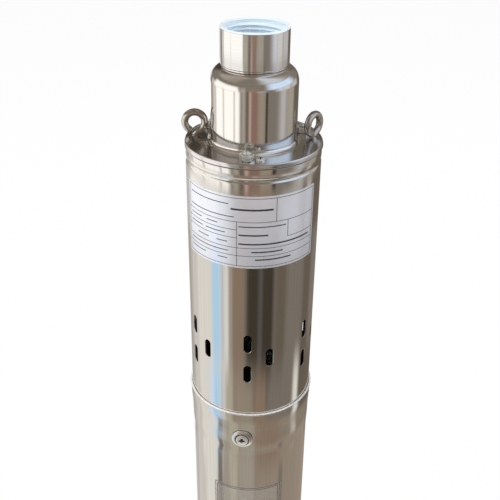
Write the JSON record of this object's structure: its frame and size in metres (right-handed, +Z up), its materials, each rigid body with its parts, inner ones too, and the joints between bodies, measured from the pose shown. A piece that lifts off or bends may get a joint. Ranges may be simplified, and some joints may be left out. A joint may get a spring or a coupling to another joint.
{
  "type": "borehole submersible pump",
  "caption": "Slim stainless borehole pump: a helical-rotor screw pump on top of its oil-filled motor, with a threaded outlet, inlet slots and two rope eyes.",
  "frame": {"origin": "middle of the flat base, on the pump axis", "axes": "+Z up the pump axis to the outlet, -Y towards the pictured front, +X to the right of it"},
  "size_m": [0.0799, 0.0801, 0.5572],
  "materials": {
    "casing_steel": "vertically brushed stainless steel",
    "polished_steel": "polished stainless steel",
    "turned_steel": "fine turned stainless steel",
    "fastener_steel": "bright stainless fasteners",
    "eye_steel": "bent wire, dull bright",
    "bearing_steel": "ground bearing steel",
    "rotor_chrome": "hard chromed",
    "lamination_steel": "varnished laminations",
    "winding_copper": "varnished copper",
    "cage_brass": "stamped",
    "cast_aluminium": "die cast",
    "black_rubber": "moulded",
    "stator_rubber": "smooth moulded nitrile",
    "seal_ceramic": "lapped ceramic",
    "seal_carbon": "lapped carbon"
  },
  "bodies": {
    "housing": {"outlet_socket": "turned_steel", "discharge_neck": "polished_steel", "head_plate": "polished_steel", "rim_seal": "black_rubber", "head_studs": "fastener_steel", "head_nuts": "fastener_steel", "plate_screw": "fastener_steel", "cable_grommet": "black_rubber", "eye_bolt_left": "eye_steel", "eye_bolt_right": "eye_steel", "eye_bolt_nuts": "fastener_steel", "pump_casing": "casing_steel", "clamp_ring": "turned_steel", "stator_gasket": "black_rubber", "stator_sleeve": "casing_steel", "stator_guide_ring": "casing_steel", "stator_rubber": "stator_rubber", "motor_casing": "casing_steel", "casing_screws": "fastener_steel", "cup_washers": "polished_steel", "upper_end_bell": "cast_aluminium", "bell_o_rings": "black_rubber", "lead_bush": "black_rubber", "oil_plug": "fastener_steel", "seal_seat": "seal_ceramic", "upper_bearing_outer_ring": "bearing_steel", "lower_bearing_outer_ring": "bearing_steel", "motor_stator_core": "lamination_steel", "motor_windings": "winding_copper", "lower_end_bell": "cast_aluminium", "lower_o_ring": "black_rubber", "preload_washer": "bearing_steel", "diaphragm": "black_rubber", "bottom_cap": "polished_steel"},
    "motor_rotor": {"motor_shaft": "turned_steel", "rotor_core": "lamination_steel", "rotor_end_rings": "cast_aluminium", "upper_bearing_inner_ring": "bearing_steel", "lower_bearing_inner_ring": "bearing_steel", "seal_face": "seal_carbon", "seal_spring": "fastener_steel", "seal_collar": "turned_steel", "sand_slinger": "black_rubber", "shaft_coupling": "turned_steel", "coupling_pin": "bearing_steel"},
    "joint_orbit": {"joint_boot": "black_rubber"},
    "screw_rotor": {"helical_rotor": "rotor_chrome", "rotor_pin": "bearing_steel"},
    "drive_rod": {"coupling_rod": "turned_steel"},
    "upper_cage": {"upper_bearing_balls": "bearing_steel", "upper_bearing_cage": "cage_brass"},
    "lower_cage": {"lower_bearing_balls": "bearing_steel", "lower_bearing_cage": "cage_brass"}
  },
  "joints": [
    {"name": "motor_spin", "type": "hinge", "parent": "housing", "child": "motor_rotor", "pos_m": [0, 0, 0.2], "axis": [0, 0, 1], "continuous": true},
    {"name": "rotor_orbit", "type": "hinge", "parent": "housing", "child": "joint_orbit", "pos_m": [0, 0, 0.3921], "axis": [0, 0, 1], "continuous": true},
    {"name": "rotor_spin", "type": "hinge", "parent": "joint_orbit", "child": "screw_rotor", "pos_m": [0.003, 0, 0.3921], "axis": [0, 0, 1], "continuous": true},
    {"name": "rod_spin", "type": "hinge", "parent": "joint_orbit", "child": "drive_rod", "pos_m": [0, 0, 0.3435], "axis": [0.0616, 0, 0.9981], "continuous": true},
    {"name": "upper_cage_spin", "type": "hinge", "parent": "housing", "child": "upper_cage", "pos_m": [0, 0, 0.29], "axis": [0, 0, 1], "continuous": true},
    {"name": "lower_cage_spin", "type": "hinge", "parent": "housing", "child": "lower_cage", "pos_m": [0, 0, 0.0505], "axis": [0, 0, 1], "continuous": true}
  ],
  "couplings": [
    {"joint": "rotor_orbit", "follows": "motor_spin", "ratio": -1},
    {"joint": "rotor_spin", "follows": "motor_spin", "ratio": 2},
    {"joint": "rod_spin", "follows": "motor_spin", "ratio": 2},
    {"joint": "upper_cage_spin", "follows": "motor_spin", "ratio": 0.38},
    {"joint": "lower_cage_spin", "follows": "motor_spin", "ratio": 0.38}
  ]
}
